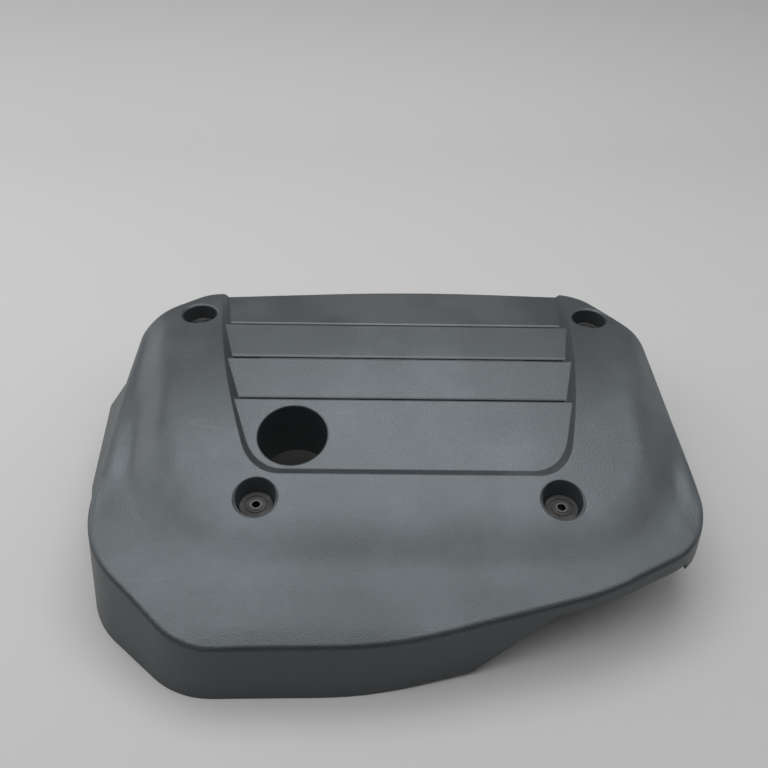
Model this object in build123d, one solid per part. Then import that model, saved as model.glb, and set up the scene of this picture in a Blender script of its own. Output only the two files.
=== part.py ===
from build123d import *
from collections import namedtuple
import math
import os

# An engine cover: one thin moulding with a crowned top, a stepped louvre panel, four fixing wells,
# a round filler hole and a drafted skirt. A rubber bush with a steel sleeve sits in each well.
# Millimetres, X to the right, Y to the rear, Z up, the skirt's foot at Z = 0.

# Overall sizes: places in plan are shares of the foot's width and depth, so the layout follows both
foot_width = 520.0
foot_depth = 404.0
crown_height = 116.0

# General moulding sizes
wall = 2.5
rim_radius = 5.5
lip_size = 1.5
stock_height = 160.0
overlap = 10.0
standing = (Align.CENTER, Align.CENTER, Align.MIN)
touching = 0.01

# Skirt: each side starts at a corner of the foot, runs against the clock to the next side's corner and
# leans in. Its corner radius is the one at its start.
Side = namedtuple("Side", "across along lean corner")
right_side = Side(across=0.5133, along=-0.3096, lean=5.0, corner=60.0)
rear_right_chamfer = Side(across=0.4888, along=0.2531, lean=5.0, corner=45.0)
rear_right_side = Side(across=0.3838, along=0.4542, lean=5.0, corner=45.0)
rear_left_side = Side(across=0.0413, along=0.4740, lean=5.0, corner=1500.0)
rear_left_chamfer = Side(across=-0.3659, along=0.4356, lean=5.0, corner=35.0)
left_side = Side(across=-0.4850, along=0.3028, lean=5.0, corner=40.0)
front_left_diagonal = Side(across=-0.4850, along=-0.3553, lean=11.5, corner=80.0)
front_side = Side(across=-0.3154, along=-0.5346, lean=8.4, corner=75.0)
front_middle_side = Side(across=-0.0312, along=-0.5283, lean=4.0, corner=350.0)
front_right_diagonal = Side(across=0.3338, along=-0.4198, lean=5.0, corner=200.0)
sides = [
    right_side,
    rear_right_chamfer,
    rear_right_side,
    rear_left_side,
    rear_left_chamfer,
    left_side,
    front_left_diagonal,
    front_side,
    front_middle_side,
    front_right_diagonal,
]
left_foot = -left_side.across * foot_width
rear_foot = rear_left_side.along * foot_depth
front_foot = -front_side.along * foot_depth

# Crown: an arc from front to rear, highest a little behind the middle
crown_radius = 740.0
crown_middle = 0.1634 * foot_depth

# Raised island: the middle of the top, with soft edges that fall to the flanks and the front apron
Edge = namedtuple("Edge", "heading reach")
island_left = Edge(heading=189.5, reach=0.3654 * foot_width)
island_right = Edge(heading=352.9, reach=0.4096 * foot_width)
island_front = Edge(heading=270.0, reach=0.2772 * foot_depth)
island_corner = 60.0
island_blend = 38.0
flank_drop = 13.0
apron_drop = 6.0
surface_step = 15.0
surface_margin = 40.0
surface_tolerance = 0.02

# Louvre recess in the island
recess_left_heading = 192.0
recess_left_reach = 0.2581 * foot_width
recess_right_heading = 353.5
recess_right_reach = 0.3077 * foot_width
recess_side_lean = 38.0
recess_front_heading = 270.0
recess_front_reach = 0.2196 * foot_depth
recess_front_lean = 62.0
recess_level = 110.0
recess_corner = 48.0
first_slat_line = 0.2772 * foot_depth
slat_pitch = 0.1312 * foot_depth
slat_lines = 3
slat_rear_depth = 3.5
slat_front_depth = 10.0
slat_slot_width = 8.0
slat_slot_growth = 1.5
slat_slot_depth = 4.0
slat_nose_run = 2.0
slat_nose_fall = 0.8
panel_front_line = -0.1634 * foot_depth
panel_front_depth = 6.8

# Fixing wells
front_well_middle = 0.0288 * foot_width
front_well_half_span = 0.2379 * foot_width
front_well_set = -0.2384 * foot_depth
front_well_depth = 9.5
rear_well_middle = 0.0101 * foot_width
rear_well_half_span = 0.3730 * foot_width
rear_well_set = 0.3119 * foot_depth
rear_well_depth = 16.0
well_mouth_radius = 17.1
well_floor_radius = 13.6
well_floor = 3.0

# Rubber bush and steel sleeve
bush_clearance = 0.2
sleeve_clearance = 0.1
bush_flange = 3.0
bush_neck_radius = 8.0
bush_lip_radius = 10.5
bush_lip = 3.0
bush_ring_depth = 0.8
bush_ring_width = 1.6
bush_ring_radius = 9.6
sleeve_outer_radius = 5.0
sleeve_bore_radius = 3.4
sleeve_proud = 0.5

# Filler hole
filler_x = -0.1615 * foot_width
filler_y = -0.0767 * foot_depth
filler_radius = 0.0738 * foot_depth
filler_collar_foot = 52.0

# Flare low on the left side: a hollow bulge with a sloping shoulder. Each of its planes passes through a
# point that lies some way out from the left side's foot, at a share of the depth.
Flank = namedtuple("Flank", "heading out along lean corner")
flare_wall = Flank(heading=185.2, out=16.2, along=0.0, lean=3.0, corner=7.0)
flare_shoulder = Flank(heading=185.9, out=59.1, along=0.0, lean=38.8, corner=7.0)
flare_rear = Flank(heading=128.0, out=7.5, along=0.1863, lean=12.0, corner=7.0)
flare_front = Flank(heading=197.0, out=7.5, along=-0.1706, lean=4.0, corner=20.0)
flare_foot = 34.0
flare_root = 12.0

# Cut-outs in the skirt's foot
front_arch_start = -0.0385 * foot_width
front_arch_step = 5.0
front_arch_rise_start = 0.1269 * foot_width
front_arch_rise_end = 0.2462 * foot_width
front_arch_top = 57.0
front_arch_end = 0.4577 * foot_width
front_arch_end_top = 62.0
side_arch_top = 55.0
side_arch_start = -0.2228 * foot_depth
side_arch_end = -0.0619 * foot_depth
rear_arch_half_width = 0.2885 * foot_width
rear_arch_top = 72.0
rear_arch_depth = 40.0
rear_arch_corner = 20.0


def heading_vector(heading):
    return Vector(math.cos(math.radians(heading)), math.sin(math.radians(heading)), 0)


def smooth_ramp(share):
    share = min(max(share, 0.0), 1.0)
    return share * share * (3 - 2 * share)


def crown(y):
    return crown_height - crown_radius + math.sqrt(crown_radius**2 - (y - crown_middle) ** 2)


def outside(edge, x, y):
    return heading_vector(edge.heading).dot(Vector(x, y, 0)) - edge.reach


def top_height(x, y):
    beside = max(outside(island_left, x, y), outside(island_right, x, y)) + island_corner
    before = outside(island_front, x, y) + island_corner
    across = max(beside, 0.0)
    along = max(before, 0.0)
    distance = math.hypot(across, along) - island_corner
    if distance <= 0:
        return crown(y)
    drop = (flank_drop * across**2 + apron_drop * along**2) / (across**2 + along**2)
    return crown(y) - drop * smooth_ramp(distance / island_blend)


def leaning_plane(heading, reach, lean_angle, inset):
    lean = math.radians(lean_angle)
    out = heading_vector(heading)
    normal = out * math.cos(lean) + Vector(0, 0, math.sin(lean))
    return Plane(origin=out * reach - normal * inset, z_dir=normal)


def foot_corner(side):
    return Vector(side.across * foot_width, side.along * foot_depth, 0)


def side_plane(index, inset):
    start = foot_corner(sides[index])
    run = foot_corner(sides[(index + 1) % len(sides)]) - start
    heading = math.degrees(math.atan2(-run.X, run.Y))
    reach = heading_vector(heading).dot(start)
    return leaning_plane(heading, reach, sides[index].lean, inset)


def on_plane(plane, point):
    return abs((point - plane.origin).dot(plane.z_dir)) < touching


def shared_edges(body, here, there):
    return [e for e in body.edges() if on_plane(here, e @ 0.5) and on_plane(there, e @ 0.5)]


def surface_marks(size):
    half = 0.5 * size + surface_margin
    count = math.ceil(2 * half / surface_step)
    return [half * (2 * i / count - 1) for i in range(count + 1)]


def below_top(inset):
    across = surface_marks(foot_width)
    along = surface_marks(foot_depth)
    grid = [[Vector(x, y, top_height(x, y) - inset) for y in along] for x in across]
    skin = Face.make_surface_from_array_of_points(grid, tol=surface_tolerance, min_deg=3, max_deg=3)
    return extrude(skin, amount=stock_height, dir=(0, 0, -1))


def hull(inset, foot):
    body = Pos(0, 0, foot) * Box(4 * foot_width, 4 * foot_width, stock_height - foot, align=standing)
    planes = [side_plane(index, inset) for index in range(len(sides))]
    for plane in planes:
        body = split(body, bisect_by=plane, keep=Keep.BOTTOM)
    for index, side in enumerate(sides):
        body = fillet(shared_edges(body, planes[index - 1], planes[index]), side.corner - inset)
    return body & below_top(inset)


def flank_plane(flank, inset):
    point = Vector(-left_foot - flank.out, flank.along * foot_depth, 0)
    reach = heading_vector(flank.heading).dot(point)
    return leaning_plane(flank.heading, reach, flank.lean, inset)


def flare(inset):
    block = Box(stock_height, 4 * left_foot, stock_height, align=(Align.MAX, Align.CENTER, Align.MIN))
    body = Pos(flare_root - left_foot, 0, flare_foot + inset) * block
    wall_plane = flank_plane(flare_wall, inset)
    for flank in (flare_wall, flare_shoulder, flare_rear, flare_front):
        body = split(body, bisect_by=flank_plane(flank, inset), keep=Keep.BOTTOM)
    for flank in (flare_front, flare_rear, flare_shoulder):
        body = fillet(shared_edges(body, wall_plane, flank_plane(flank, inset)), flank.corner - inset)
    return body


def recess_plane(heading, reach, lean_angle, inset):
    lean = math.radians(lean_angle)
    out = heading_vector(heading)
    normal = out * math.cos(lean) - Vector(0, 0, math.sin(lean))
    return Plane(origin=out * reach + Vector(0, 0, recess_level) + normal * inset, z_dir=normal)


def recess(inset):
    width = 2 * foot_width
    column = Pos(0, 0, recess_level) * Box(width, width, stock_height)
    left = recess_plane(recess_left_heading, recess_left_reach, recess_side_lean, inset)
    right = recess_plane(recess_right_heading, recess_right_reach, recess_side_lean, inset)
    front = recess_plane(recess_front_heading, recess_front_reach, recess_front_lean, inset)
    for plane in (left, right, front):
        column = split(column, bisect_by=plane, keep=Keep.BOTTOM)
    for plane in (left, right):
        column = fillet(shared_edges(column, plane, front), recess_corner + inset)
    lines = [first_slat_line - i * slat_pitch for i in reversed(range(slat_lines))]
    panel_front = crown(panel_front_line) - panel_front_depth
    panel_rear = crown(lines[0]) - slat_rear_depth
    panel_slope = (panel_rear - panel_front) / (lines[0] - panel_front_line)
    steps = [(-width, panel_front - panel_slope * (width + panel_front_line))]
    ends = lines[1:] + [rear_foot]
    for i, (line, end) in enumerate(zip(lines, ends)):
        slot_end = line + slat_slot_width + i * slat_slot_growth
        slat_front = crown(line) - slat_front_depth
        slope = (crown(end) - slat_rear_depth - slat_front) / (end - line)
        nose = slat_front + slope * (slot_end - line) - slat_nose_fall
        steps.append((line, crown(line) - slat_rear_depth))
        steps.append((line, slat_front - slat_slot_depth))
        steps.append((slot_end, slat_front - slat_slot_depth))
        steps.append((slot_end, nose))
        steps.append((slot_end + slat_nose_run, nose + slat_nose_fall + slope * slat_nose_run))
    rear_level = crown(ends[-1]) - slat_rear_depth
    steps.append((ends[-1], rear_level))
    steps.append((width, rear_level))
    steps.append((width, 2 * stock_height))
    steps.append((-width, 2 * stock_height))
    points = [(0, y - inset, z - inset) for y, z in steps]
    louvres = extrude(make_face(Polyline(*points, close=True)), amount=width, both=True)
    return louvres & column


def well_places():
    for name, sign in (("left", -1), ("right", 1)):
        front_x = front_well_middle + sign * front_well_half_span
        rear_x = rear_well_middle + sign * rear_well_half_span
        yield "front_" + name, front_x, front_well_set, front_well_depth
        yield "rear_" + name, rear_x, rear_well_set, rear_well_depth


def well_seat(y, depth):
    return crown(y) - depth - bush_flange


def well_spread(depth):
    return (well_mouth_radius - well_floor_radius) / (depth + bush_flange)


def well(x, y, depth, inset):
    height = depth + bush_flange + overlap
    low_radius = well_floor_radius + inset
    high_radius = low_radius + well_spread(depth) * height
    return Pos(x, y, well_seat(y, depth)) * Cone(low_radius, high_radius, height, align=standing)


def well_lip(x, y):
    slope_x = (top_height(x + lip_size, y) - top_height(x - lip_size, y)) / (2 * lip_size)
    slope_y = (top_height(x, y + lip_size) - top_height(x, y - lip_size)) / (2 * lip_size)
    square = Plane(origin=(x, y, top_height(x, y)), z_dir=(-slope_x, -slope_y, 1))
    height = lip_size + overlap
    cone = Cone(well_mouth_radius, well_mouth_radius + height, height, align=standing)
    return square * Pos(0, 0, -lip_size) * cone


def filler_mouth(body):
    edges = []
    for edge in body.edges():
        place = edge @ 0.5
        away = math.hypot(place.X - filler_x, place.Y - filler_y) - filler_radius
        if abs(away) < touching and place.Z > filler_collar_foot + wall and edge.geom_type != GeomType.LINE:
            edges.append(edge)
    return edges


def disc(x, y, low, high, radius):
    return Pos(x, y, low) * Cylinder(radius, high - low, align=standing)


def foot_cuts():
    arch = make_face(
        Polyline(
            (front_arch_start, 0, -overlap),
            (front_arch_start, 0, 0),
            (front_arch_rise_start, 0, front_arch_step),
            (front_arch_rise_end, 0, front_arch_top),
            (front_arch_end, 0, front_arch_end_top),
            (front_arch_end, 0, -overlap),
            close=True,
        )
    )
    front = extrude(arch, amount=2 * front_foot, dir=(0, -1, 0))
    slope = make_face(
        Polyline(
            (0, -front_foot, -overlap),
            (0, -front_foot, side_arch_top),
            (0, side_arch_start, side_arch_top),
            (0, side_arch_end, -overlap),
            close=True,
        )
    )
    side = Pos(front_arch_end, 0, 0) * extrude(slope, amount=foot_width, dir=(1, 0, 0))
    rear = Box(2 * rear_arch_half_width, 2 * rear_arch_depth, 2 * rear_arch_top)
    rear = fillet(rear.edges().filter_by(Axis.Y).group_by(Axis.Z)[-1], rear_arch_corner)
    rear = Pos(rear_well_middle, rear_foot, 0) * rear
    return front, side, rear


def cover_moulding():
    outer = hull(0, 0)
    rim = outer.faces().sort_by(Axis.Z)[-1].edges()
    outer = fillet(rim, rim_radius) + flare(0)
    cover = outer - (hull(wall, -overlap) + flare(wall))
    # The pockets' skins go in first, then what is open in them
    cover += recess(wall) & outer
    cover += disc(filler_x, filler_y, filler_collar_foot, crown_height, filler_radius + wall) & outer
    for name, x, y, depth in well_places():
        seat = well_seat(y, depth)
        skin = well(x, y, depth, wall) + disc(x, y, seat - well_floor, seat, well_floor_radius + wall)
        cover += skin & outer
    cover -= recess(0)
    cover -= disc(filler_x, filler_y, filler_collar_foot - overlap, crown_height + overlap, filler_radius)
    cover = fillet(filler_mouth(cover), lip_size)
    for name, x, y, depth in well_places():
        seat = well_seat(y, depth)
        cover -= well(x, y, depth, 0)
        cover -= disc(x, y, seat - well_floor - overlap, seat + overlap, bush_neck_radius + bush_clearance)
        cover -= well_lip(x, y)
    for cut in foot_cuts():
        cover -= cut
    return cover


def rubber_bush(x, y, depth):
    seat = well_seat(y, depth)
    under = seat - well_floor
    foot = under - bush_lip
    top = seat + bush_flange
    bush = disc(x, y, seat, top, well_floor_radius - bush_clearance)
    bush += disc(x, y, under, seat, bush_neck_radius)
    bush += disc(x, y, foot, under, bush_lip_radius)
    groove_floor = top - bush_ring_depth
    groove = disc(x, y, groove_floor, top, bush_ring_radius)
    groove -= disc(x, y, groove_floor, top, bush_ring_radius - bush_ring_width)
    return bush - groove - disc(x, y, foot, top, sleeve_outer_radius + sleeve_clearance)


def spacer_sleeve(x, y, depth):
    seat = well_seat(y, depth)
    foot = seat - well_floor - bush_lip
    top = seat + bush_flange + sleeve_proud
    return disc(x, y, foot, top, sleeve_outer_radius) - disc(x, y, foot, top, sleeve_bore_radius)


nodes = {"cover_moulding": cover_moulding()}
for name, x, y, depth in well_places():
    nodes["rubber_bush_" + name] = rubber_bush(x, y, depth)
    nodes["spacer_sleeve_" + name] = spacer_sleeve(x, y, depth)

# The origin is the middle of the foot, under the middle of the whole cover
box = nodes["cover_moulding"].bounding_box()
to_origin = Pos(-box.center().X, -box.center().Y, -box.min.Z)
os.makedirs("parts", exist_ok=True)
for name, solid in nodes.items():
    export_step(to_origin * solid, "parts/" + name + ".step")
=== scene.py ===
# %% [markdown]
# # A moulded engine cover, dressed for the camera
# The imported solids already have the cover's true shape, so this lesson leaves every shape alone and
# works on what the eye sees: the stage, the light and the finishes. We load the solids first and list
# their names. Nothing that we do later may grow the part.

# %% Load the imported solids
import math

import bpy
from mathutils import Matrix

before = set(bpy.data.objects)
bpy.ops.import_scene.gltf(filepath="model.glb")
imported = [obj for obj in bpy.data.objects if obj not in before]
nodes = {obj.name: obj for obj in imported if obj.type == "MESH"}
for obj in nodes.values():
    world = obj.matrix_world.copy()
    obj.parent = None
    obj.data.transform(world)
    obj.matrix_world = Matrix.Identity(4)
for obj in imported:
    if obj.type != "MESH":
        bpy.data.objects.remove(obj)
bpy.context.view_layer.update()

print("solids:", sorted(nodes))

# %% [markdown]
# ## The camera
# The cover was seen from the front and well above, through a lens a little wider than normal. A camera
# in Blender looks down its own -Z axis, so a tilt about X of 90 degrees would look level and 48 degrees
# looks down at the cover. The small roll is the tilt of the hand that held it.

# %% Camera
camera_place = (-0.0082, -0.4936, 0.5911)
camera_tilt = 48.09
camera_roll = -0.873
camera_lens = 37.22
sensor_width = 36.0
near_clip = 0.01

camera_data = bpy.data.cameras.new("studio_camera")
camera_data.lens = camera_lens
camera_data.sensor_width = sensor_width
camera_data.clip_start = near_clip
camera = bpy.data.objects.new("studio_camera", camera_data)
camera.location = camera_place
camera.rotation_euler = (math.radians(camera_tilt), math.radians(camera_roll), 0.0)
bpy.context.scene.collection.objects.link(camera)
bpy.context.scene.camera = camera
print("camera at", camera_place, "with a", camera_lens, "mm lens")

# %% [markdown]
# ## The stage
# A sweep is a sheet that lies on the table, bends up behind the object and stands as a wall, so that no
# hard line crosses the picture. It matters here for a second reason: a satin surface mirrors what
# stands behind it, and a quiet wall keeps the rear of the cover darker than its front. The wall leaves
# room for a camera that looks at the cover from behind. The profile is a flat run, a quarter arc and an
# upright, pulled out sideways into a strip.


# %% Sweep
def strip_mesh(name, profile, half_width):
    corners = [(x, y, z) for y, z in profile for x in (-half_width, half_width)]
    faces = [(2 * i, 2 * i + 1, 2 * i + 3, 2 * i + 2) for i in range(len(profile) - 1)]
    mesh = bpy.data.meshes.new(name)
    mesh.from_pydata(corners, [], faces)
    mesh.polygons.foreach_set("use_smooth", [True] * len(faces))
    return mesh


floor_front = -2.5
wall_place = 1.0
wall_height = 0.8
bend_radius = 0.25
bend_steps = 24
floor_level = -0.0003
sweep_half_width = 3.0
paper_colour = (0.42, 0.42, 0.416)
paper_roughness = 0.9
paper_shine = 0.1

sweep_profile = [(floor_front, floor_level)]
for step in range(bend_steps + 1):
    turn = 0.5 * math.pi * step / bend_steps
    run = wall_place - bend_radius + bend_radius * math.sin(turn)
    rise = floor_level + bend_radius * (1.0 - math.cos(turn))
    sweep_profile.append((run, rise))
sweep_profile.append((wall_place, wall_height))
sweep = bpy.data.objects.new("sweep", strip_mesh("sweep", sweep_profile, sweep_half_width))
bpy.context.scene.collection.objects.link(sweep)

sweep_finish = bpy.data.materials.new("sweep_paper")
sweep_finish.use_nodes = True
paper = sweep_finish.node_tree.nodes["Principled BSDF"]
paper.inputs["Base Color"].default_value = (*paper_colour, 1.0)
paper.inputs["Roughness"].default_value = paper_roughness
paper.inputs["Specular IOR Level"].default_value = paper_shine
sweep.data.materials.append(sweep_finish)
print("sweep with", len(sweep.data.polygons), "faces")

# %% [markdown]
# ## The light
# Two soft boxes hang overhead, a small bright one behind the cover and a wide dimmer one in front of
# it. A satin surface that leans about ten degrees towards the camera mirrors the far box and turns
# pale, one that leans more mirrors the near box, one that lies level mirrors the wall and the dim air
# above it and stays darker, and the upright skirt mirrors the floor. A third box brightens the front
# left, and a low panel on each side shows in the sloping flanks, the left one more than the right one.


# %% Soft boxes
def soft_box(name, place, aim, width, depth, watts):
    data = bpy.data.lights.new(name, "AREA")
    data.shape = "RECTANGLE"
    data.size = width
    data.size_y = depth
    data.energy = watts
    lamp = bpy.data.objects.new(name, data)
    lamp.location = place
    direction = [a - p for a, p in zip(aim, place)]
    length = math.sqrt(sum(d * d for d in direction))
    turn = math.atan2(direction[0], -direction[1])
    lean = math.acos(-direction[2] / length)
    lamp.rotation_euler = (lean, 0.0, turn + math.pi)
    bpy.context.scene.collection.objects.link(lamp)


soft_box("far_box", place=(0.0, 0.57, 1.45), aim=(0.0, 0.56, 0.0), width=1.35, depth=0.72, watts=14.5)
soft_box("near_box", place=(0.0, -0.36, 1.45), aim=(0.0, -0.37, 0.0), width=3.6, depth=1.02, watts=20.5)
soft_box("left_box", place=(-0.9, -0.4, 1.43), aim=(-0.9, -0.41, 0.0), width=1.4, depth=0.8, watts=4.3)
soft_box("left_panel", place=(-1.12, 0.28, 0.5), aim=(-0.1, -0.05, 0.1), width=1.3, depth=0.85, watts=5.0)
soft_box("right_panel", place=(1.12, 0.28, 0.5), aim=(0.1, -0.05, 0.1), width=1.3, depth=0.85, watts=2.2)

air_colour = (0.9, 0.95, 1.0)
air_strength = 0.07
world = bpy.data.worlds.new("studio_air")
world.use_nodes = True
background = world.node_tree.nodes["Background"]
background.inputs["Color"].default_value = (*air_colour, 1.0)
background.inputs["Strength"].default_value = air_strength
bpy.context.scene.world = world
bpy.context.scene.view_settings.view_transform = "Standard"

# %% [markdown]
# ## Shared effects
# Grain, dust, edge rounding with a painted highlight, and scratches are each a node group with named
# sockets. A group gives out a mask, a value, a height or a normal, and each finish decides how much of it
# to take. All of them read
# Object coordinates, which are metres here, so a texture scale of 1000 means details about a millimetre
# apart.


# %% Group helpers
def new_group(name, inputs, outputs):
    group = bpy.data.node_groups.new(name, "ShaderNodeTree")
    for label, value in inputs:
        socket = group.interface.new_socket(label, in_out="INPUT", socket_type="NodeSocketFloat")
        socket.default_value = value
    for label, kind in outputs:
        group.interface.new_socket(label, in_out="OUTPUT", socket_type=kind)
    entry = group.nodes.new("NodeGroupInput")
    leave = group.nodes.new("NodeGroupOutput")
    return group, entry, leave


def math_node(tree, operation, *values):
    node = tree.nodes.new("ShaderNodeMath")
    node.operation = operation
    for socket, value in zip(node.inputs, values):
        if isinstance(value, (int, float)):
            socket.default_value = value
        else:
            tree.links.new(value, socket)
    return node.outputs["Value"]


def noise_node(tree, vector, scale, detail, roughness):
    node = tree.nodes.new("ShaderNodeTexNoise")
    tree.links.new(vector, node.inputs["Vector"])
    for label, value in (("Scale", scale), ("Detail", detail), ("Roughness", roughness)):
        if isinstance(value, (int, float)):
            node.inputs[label].default_value = value
        else:
            tree.links.new(value, node.inputs[label])
    return node.outputs["Fac"]


def ramp_node(tree, value, low, high):
    node = tree.nodes.new("ShaderNodeMapRange")
    node.interpolation_type = "SMOOTHSTEP"
    tree.links.new(value, node.inputs["Value"])
    node.inputs["From Min"].default_value = low
    node.inputs["From Max"].default_value = high
    return node.outputs["Result"]


def upward_share(tree, low, high):
    normal = tree.nodes.new("ShaderNodeNewGeometry").outputs["Normal"]
    split = tree.nodes.new("ShaderNodeSeparateXYZ")
    tree.links.new(normal, split.inputs["Vector"])
    return ramp_node(tree, split.outputs["Z"], low, high)


print("helpers ready")

# %% [markdown]
# ### Moulded grain
# A moulding takes its grain from an etched steel mould: close, shallow pits of nearly one size, with a
# faint unevenness from patch to patch. Voronoi cells give pits of one size, and noise breaks their
# order.

# %% Moulded grain group
grain_group, entry, leave = new_group(
    "moulded_grain",
    [("Pit Scale", 1400.0), ("Patch Scale", 30.0)],
    [("Height", "NodeSocketFloat"), ("Patches", "NodeSocketFloat")],
)
place = grain_group.nodes.new("ShaderNodeTexCoord").outputs["Object"]
pits = grain_group.nodes.new("ShaderNodeTexVoronoi")
grain_group.links.new(place, pits.inputs["Vector"])
grain_group.links.new(entry.outputs["Pit Scale"], pits.inputs["Scale"])
fine = noise_node(grain_group, place, entry.outputs["Pit Scale"], detail=2.0, roughness=0.6)
height = math_node(grain_group, "ADD", pits.outputs["Distance"], fine)
grain_group.links.new(height, leave.inputs["Height"])
patches = noise_node(grain_group, place, entry.outputs["Patch Scale"], detail=4.0, roughness=0.55)
grain_group.links.new(patches, leave.inputs["Patches"])
print("group", grain_group.name, "with", len(grain_group.nodes), "nodes")

# %% [markdown]
# ### Settled dust
# Dust lies on what faces up. The mask takes the upward share of the surface's normal and breaks it with
# two sizes of noise, wide hazy clouds and small specks.

# %% Settled dust group
dust_facing = (0.35, 1.0)
cloud_band = (0.42, 0.68)
speck_band = (0.54, 0.80)

dust_group, entry, leave = new_group(
    "settled_dust",
    [("Cloud Scale", 9.0), ("Speck Scale", 420.0)],
    [("Haze", "NodeSocketFloat"), ("Specks", "NodeSocketFloat")],
)
place = dust_group.nodes.new("ShaderNodeTexCoord").outputs["Object"]
upward = upward_share(dust_group, *dust_facing)
wide_noise = noise_node(dust_group, place, entry.outputs["Cloud Scale"], detail=5.0, roughness=0.6)
clouds = ramp_node(dust_group, wide_noise, *cloud_band)
dust_group.links.new(math_node(dust_group, "MULTIPLY", upward, clouds), leave.inputs["Haze"])
small_noise = noise_node(dust_group, place, entry.outputs["Speck Scale"], detail=2.0, roughness=0.6)
specks = ramp_node(dust_group, small_noise, *speck_band)
dust_group.links.new(math_node(dust_group, "MULTIPLY", upward, specks), leave.inputs["Specks"])
print("group", dust_group.name, "with", len(dust_group.nodes), "nodes")

# %% [markdown]
# ### Edge rounding and painted highlight
# Edges are painted a little paler, as a painted highlight where a rounded moulded lip would catch the
# light, and noise breaks it up. A Bevel node
# averages the normal around an edge: where it differs from the plain normal there is an edge, and that
# difference is the mask. The averaged normal is given out too, because it makes a sharp lip catch light
# like a moulded one.

# %% Edge rounding and painted highlight group
bevel_samples = 6
edge_highlight_band = (0.02, 0.25)

edge_round_highlight_group, entry, leave = new_group(
    "edge_rounding_and_painted_highlight",
    [("Width", 0.0015), ("Break Up", 260.0)],
    [("Mask", "NodeSocketFloat"), ("Normal", "NodeSocketVector")],
)
place = edge_round_highlight_group.nodes.new("ShaderNodeTexCoord").outputs["Object"]
rounded = edge_round_highlight_group.nodes.new("ShaderNodeBevel")
rounded.samples = bevel_samples
edge_round_highlight_group.links.new(entry.outputs["Width"], rounded.inputs["Radius"])
flat = edge_round_highlight_group.nodes.new("ShaderNodeNewGeometry").outputs["Normal"]
match = edge_round_highlight_group.nodes.new("ShaderNodeVectorMath")
match.operation = "DOT_PRODUCT"
edge_round_highlight_group.links.new(rounded.outputs["Normal"], match.inputs[0])
edge_round_highlight_group.links.new(flat, match.inputs[1])
difference = math_node(edge_round_highlight_group, "SUBTRACT", 1.0, match.outputs["Value"])
turned = ramp_node(edge_round_highlight_group, difference, *edge_highlight_band)
broken = noise_node(edge_round_highlight_group, place, entry.outputs["Break Up"], detail=3.0, roughness=0.6)
# This mask paints a highlight: paler colour on edges where a rounded lip would catch light.
edge_round_highlight_group.links.new(math_node(edge_round_highlight_group, "MULTIPLY", turned, broken), leave.inputs["Mask"])
edge_round_highlight_group.links.new(rounded.outputs["Normal"], leave.inputs["Normal"])
print("group", edge_round_highlight_group.name, "with", len(edge_round_highlight_group.nodes), "nodes")

# %% [markdown]
# ### Fine scratches
# Cleaning and handling leave short pale streaks on what faces up. Noise stretched along one direction
# has long narrow bands, and the line where it passes its middle value is as thin as a hair. A slower
# noise keeps only a few of those lines, so the streaks come in loose bunches.

# %% Fine scratch group
streak_turn = 24.0
streak_stretch = (0.35, 3.2, 1.0)
noise_middle = 0.5
bunch_scale = 22.0
bunch_band = (0.56, 0.70)
scratch_facing = (0.7, 0.9)

scratch_group, entry, leave = new_group(
    "fine_scratches",
    [("Scale", 14.0), ("Thickness", 0.008)],
    [("Mask", "NodeSocketFloat")],
)
place = scratch_group.nodes.new("ShaderNodeTexCoord").outputs["Object"]
stretch = scratch_group.nodes.new("ShaderNodeMapping")
stretch.inputs["Rotation"].default_value = (0.0, 0.0, math.radians(streak_turn))
stretch.inputs["Scale"].default_value = streak_stretch
scratch_group.links.new(place, stretch.inputs["Vector"])
stretched = stretch.outputs["Vector"]
bands = noise_node(scratch_group, stretched, entry.outputs["Scale"], detail=0.0, roughness=0.5)
offset = math_node(scratch_group, "SUBTRACT", bands, noise_middle)
from_middle = math_node(scratch_group, "ABSOLUTE", offset)
thin = math_node(scratch_group, "LESS_THAN", from_middle, entry.outputs["Thickness"])
slow_noise = noise_node(scratch_group, place, bunch_scale, detail=3.0, roughness=0.6)
bunches = ramp_node(scratch_group, slow_noise, *bunch_band)
upward = upward_share(scratch_group, *scratch_facing)
streaks = math_node(scratch_group, "MULTIPLY", thin, bunches)
scratch_group.links.new(math_node(scratch_group, "MULTIPLY", streaks, upward), leave.inputs["Mask"])
print("group", scratch_group.name, "with", len(scratch_group.nodes), "nodes")

# %% [markdown]
# ## Finishes
# Every finish starts from a Principled shader. Fixed numbers sit on its own sockets, and only what
# changes over the surface is linked: colour, roughness and the normal, which carries the grain.

# %% Finish helpers
# A Mix node has a set of sockets for each kind of value, and these are the places of its colours.
mix_base, mix_over, mix_result = 6, 7, 2


def new_finish(name, metallic):
    finish = bpy.data.materials.new(name)
    finish.use_nodes = True
    shader = finish.node_tree.nodes["Principled BSDF"]
    shader.inputs["Metallic"].default_value = metallic
    return finish, finish.node_tree, shader


def use_group(tree, group, **values):
    node = tree.nodes.new("ShaderNodeGroup")
    node.node_tree = group
    for label, value in values.items():
        node.inputs[label.replace("_", " ")].default_value = value
    return node


def blend_colour(tree, mask, strength, base, over):
    node = tree.nodes.new("ShaderNodeMix")
    node.data_type = "RGBA"
    factor = math_node(tree, "MULTIPLY", mask, strength)
    tree.links.new(factor, node.inputs["Factor"])
    for socket, value in ((node.inputs[mix_base], base), (node.inputs[mix_over], over)):
        if isinstance(value, tuple):
            socket.default_value = (*value, 1.0)
        else:
            tree.links.new(value, socket)
    return node.outputs[mix_result]


def blend_value(tree, mask, low, high):
    node = tree.nodes.new("ShaderNodeMapRange")
    tree.links.new(mask, node.inputs["Value"])
    node.inputs["To Min"].default_value = low
    node.inputs["To Max"].default_value = high
    return node.outputs["Result"]


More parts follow.
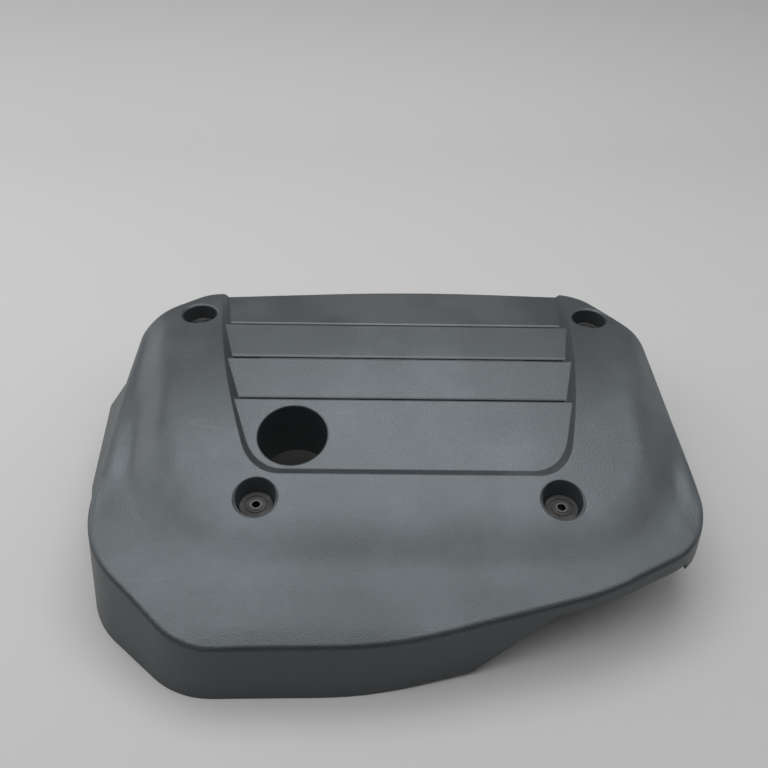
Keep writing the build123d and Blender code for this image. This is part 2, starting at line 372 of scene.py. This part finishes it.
def grain_bump(tree, shader, height, strength, distance):
    bump = tree.nodes.new("ShaderNodeBump")
    bump.inputs["Strength"].default_value = strength
    bump.inputs["Distance"].default_value = distance
    tree.links.new(height, bump.inputs["Height"])
    tree.links.new(bump.outputs["Normal"], shader.inputs["Normal"])
    return bump


print("finish helpers ready")

# %% [markdown]
# ### Charcoal moulding
# The cover is one piece of filled plastic: charcoal with a trace of blue in its colour and its shine,
# satin rather than matt, with a fine etched grain. Use has left a pale haze and a few scratches on top.
# Its edges are painted paler, a painted highlight where a rounded lip would catch light. The shares below
# say how strongly each effect tints the charcoal.

# %% Charcoal moulding
charcoal = (0.016, 0.0185, 0.020)
charcoal_pale = (0.027, 0.031, 0.0335)
# Pale colour for dust haze and scratches, also used for the painted highlight on edges.
dust_wear_and_highlight_colour = (0.10, 0.112, 0.12)
shine_tint = (0.86, 0.94, 1.0)
speck_colour = (0.15, 0.16, 0.165)
patch_share, haze_share, speck_share = 0.7, 0.28, 0.25
edge_highlight_share, scratch_share = 0.45, 0.2
moulding_shine = 0.85
moulding_roughness = (0.34, 0.46)
moulding_bump, moulding_pit_depth = 0.5, 0.00025

moulding_finish, tree, shader = new_finish("charcoal_moulding", metallic=0.0)
shader.inputs["Specular IOR Level"].default_value = moulding_shine
shader.inputs["Specular Tint"].default_value = (*shine_tint, 1.0)
grain = use_group(tree, grain_group, Pit_Scale=900.0, Patch_Scale=26.0)
dust = use_group(tree, dust_group, Cloud_Scale=8.0, Speck_Scale=800.0)
edge_round_highlight = use_group(tree, edge_round_highlight_group, Width=0.0018, Break_Up=240.0)
scratches = use_group(tree, scratch_group, Scale=14.0, Thickness=0.008)
colour = blend_colour(tree, grain.outputs["Patches"], patch_share, charcoal, charcoal_pale)
colour = blend_colour(tree, dust.outputs["Haze"], haze_share, colour, dust_wear_and_highlight_colour)
colour = blend_colour(tree, dust.outputs["Specks"], speck_share, colour, speck_colour)
# Paler edges here are a painted highlight, where a rounded lip would catch the light.
colour = blend_colour(tree, edge_round_highlight.outputs["Mask"], edge_highlight_share, colour, dust_wear_and_highlight_colour)
colour = blend_colour(tree, scratches.outputs["Mask"], scratch_share, colour, dust_wear_and_highlight_colour)
tree.links.new(colour, shader.inputs["Base Color"])
roughness = blend_value(tree, grain.outputs["Patches"], *moulding_roughness)
tree.links.new(roughness, shader.inputs["Roughness"])
bump = grain_bump(tree, shader, grain.outputs["Height"], moulding_bump, moulding_pit_depth)
tree.links.new(edge_round_highlight.outputs["Normal"], bump.inputs["Normal"])
print("finish", moulding_finish.name)

# %% [markdown]
# ### Bush rubber
# The bushes are black rubber gone grey with dust on their open faces. Rubber is rougher than the
# moulding and its grain is finer.

# %% Bush rubber
rubber_black = (0.017, 0.017, 0.017)
rubber_grey = (0.027, 0.0266, 0.026)
rubber_dust = (0.09, 0.0875, 0.084)
patch_share, haze_share, speck_share = 0.8, 0.35, 0.3
rubber_shine = 0.35
rubber_roughness = (0.62, 0.82)
rubber_bump, rubber_pit_depth = 0.3, 0.0001

rubber_finish, tree, shader = new_finish("bush_rubber", metallic=0.0)
shader.inputs["Specular IOR Level"].default_value = rubber_shine
grain = use_group(tree, grain_group, Pit_Scale=2600.0, Patch_Scale=160.0)
dust = use_group(tree, dust_group, Cloud_Scale=120.0, Speck_Scale=1500.0)
colour = blend_colour(tree, grain.outputs["Patches"], patch_share, rubber_black, rubber_grey)
colour = blend_colour(tree, dust.outputs["Haze"], haze_share, colour, rubber_dust)
colour = blend_colour(tree, dust.outputs["Specks"], speck_share, colour, rubber_dust)
tree.links.new(colour, shader.inputs["Base Color"])
roughness = blend_value(tree, grain.outputs["Patches"], *rubber_roughness)
tree.links.new(roughness, shader.inputs["Roughness"])
grain_bump(tree, shader, grain.outputs["Height"], rubber_bump, rubber_pit_depth)
print("finish", rubber_finish.name)

# %% [markdown]
# ### Plated sleeve
# The sleeves are rolled steel with a thin zinc plating. Their colour is painted far darker than clean
# zinc, as painted shade for the dark hole at each bush's centre. The plating is metal, so its colour
# tints what it mirrors, and patches of dull roughness keep it from looking new.

# %% Plated sleeve
# Both zinc tones are painted shade: far darker than clean zinc, for the dark hole at each bush's centre.
zinc_shade_pale = (0.10, 0.10, 0.098)
zinc_shade_deep = (0.06, 0.0585, 0.056)
patch_share = 0.9
sleeve_roughness = (0.28, 0.6)
sleeve_bump, sleeve_pit_depth = 0.15, 0.00005

sleeve_finish, tree, shader = new_finish("plated_sleeve", metallic=1.0)
grain = use_group(tree, grain_group, Pit_Scale=3000.0, Patch_Scale=420.0)
colour = blend_colour(tree, grain.outputs["Patches"], patch_share, zinc_shade_pale, zinc_shade_deep)
tree.links.new(colour, shader.inputs["Base Color"])
roughness = blend_value(tree, grain.outputs["Patches"], *sleeve_roughness)
tree.links.new(roughness, shader.inputs["Roughness"])
grain_bump(tree, shader, grain.outputs["Height"], sleeve_bump, sleeve_pit_depth)
print("finish", sleeve_finish.name)

# %% [markdown]
# ## Dressing the solids
# The shapes are right as they are, so each solid only swaps its plain packed material for a finish.

# %% Give each solid its finish
finishes = {"cover": moulding_finish, "rubber": rubber_finish, "spacer": sleeve_finish}
for name, solid in nodes.items():
    finish = finishes[name.split("_")[0]]
    solid.data.materials.clear()
    solid.data.materials.append(finish)
    print(name, "->", finish.name)
